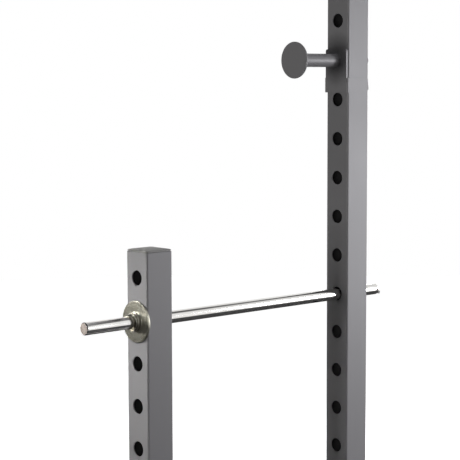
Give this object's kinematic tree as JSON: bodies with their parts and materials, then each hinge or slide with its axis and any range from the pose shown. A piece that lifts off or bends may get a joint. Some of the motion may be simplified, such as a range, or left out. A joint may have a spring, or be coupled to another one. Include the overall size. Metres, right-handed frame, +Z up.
{
  "type": "power rack",
  "caption": "Half-rack power rack: pin-holed steel uprights on base rails, sliding safety rods with stop flanges and lock tongues, bar catches with end discs, and a chin bar.",
  "frame": {"origin": "middle of the footprint's bounding box, on the floor", "axes": "+Z up, -Y the open front where the lifter walks in, +X to the right seen from the front"},
  "size_m": [1.198, 1.0158, 2.085],
  "materials": {
    "painted_frame": "satin grey powder coat",
    "cap_plastic": "matt moulded",
    "foot_rubber": "matt",
    "bolt_zinc": "black zinc",
    "rod_chrome": "polished",
    "flange_zinc": "turned, olive zinc",
    "tongue_steel": "bare steel"
  },
  "bodies": {
    "frame": {"base_rail_left": "painted_frame", "base_rail_right": "painted_frame", "chin_bar": "painted_frame", "chin_bar_bolt_left_a": "bolt_zinc", "chin_bar_bolt_left_b": "bolt_zinc", "chin_bar_bolt_right_a": "bolt_zinc", "chin_bar_bolt_right_b": "bolt_zinc", "front_foot_bolt_left_a": "bolt_zinc", "front_foot_bolt_left_b": "bolt_zinc", "front_foot_bolt_right_a": "bolt_zinc", "front_foot_bolt_right_b": "bolt_zinc", "front_foot_left": "foot_rubber", "front_foot_right": "foot_rubber", "front_upright_cap_left": "cap_plastic", "front_upright_cap_right": "cap_plastic", "front_upright_left": "painted_frame", "front_upright_right": "painted_frame", "lower_beam_bolt_left_a": "bolt_zinc", "lower_beam_bolt_left_b": "bolt_zinc", "lower_beam_bolt_right_a": "bolt_zinc", "lower_beam_bolt_right_b": "bolt_zinc", "rail_front_cap_left": "cap_plastic", "rail_front_cap_right": "cap_plastic", "rail_rear_cap_left": "cap_plastic", "rail_rear_cap_right": "cap_plastic", "rear_foot_bolt_left_a": "bolt_zinc", "rear_foot_bolt_left_b": "bolt_zinc", "rear_foot_bolt_right_a": "bolt_zinc", "rear_foot_bolt_right_b": "bolt_zinc", "rear_foot_left": "foot_rubber", "rear_foot_right": "foot_rubber", "rear_lower_beam": "painted_frame", "rear_upright_cap_left": "cap_plastic", "rear_upright_cap_right": "cap_plastic", "rear_upright_left": "painted_frame", "rear_upright_right": "painted_frame", "upper_beam": "painted_frame", "upper_beam_bolt_left_a": "bolt_zinc", "upper_beam_bolt_left_b": "bolt_zinc", "upper_beam_bolt_right_a": "bolt_zinc", "upper_beam_bolt_right_b": "bolt_zinc"},
    "catch_left": {"catch_bracket_left": "painted_frame", "catch_disc_left": "painted_frame", "catch_peg_left": "painted_frame", "catch_pin_left": "painted_frame"},
    "catch_right": {"catch_bracket_right": "painted_frame", "catch_disc_right": "painted_frame", "catch_peg_right": "painted_frame", "catch_pin_right": "painted_frame"},
    "tongue_left": {"lock_tongue_left": "tongue_steel"},
    "tongue_right": {"lock_tongue_right": "tongue_steel"},
    "rod_left": {"rod_flange_left": "flange_zinc", "safety_rod_left": "rod_chrome", "tongue_pin_left": "tongue_steel"},
    "rod_right": {"rod_flange_right": "flange_zinc", "safety_rod_right": "rod_chrome", "tongue_pin_right": "tongue_steel"}
  },
  "joints": [
    {"name": "rod_slide_left", "type": "slide", "parent": "frame", "child": "rod_left", "axis": [0, -1, 0], "range_m": [0, 0.68]},
    {"name": "tongue_hinge_left", "type": "hinge", "parent": "rod_left", "child": "tongue_left", "pos_m": [-0.56, 0.2521, 1.06993], "axis": [1, 0, 0], "range_deg": [-64, 26]},
    {"name": "catch_slide_left", "type": "slide", "parent": "frame", "child": "catch_left", "axis": [0, -1, 0], "range_m": [0, 0.11]},
    {"name": "rod_slide_right", "type": "slide", "parent": "frame", "child": "rod_right", "axis": [0, -1, 0], "range_m": [0, 0.68]},
    {"name": "tongue_hinge_right", "type": "hinge", "parent": "rod_right", "child": "tongue_right", "pos_m": [0.56, 0.2521, 1.06993], "axis": [1, 0, 0], "range_deg": [-64, 26]},
    {"name": "catch_slide_right", "type": "slide", "parent": "frame", "child": "catch_right", "axis": [0, -1, 0], "range_m": [0, 0.11]}
  ]
}
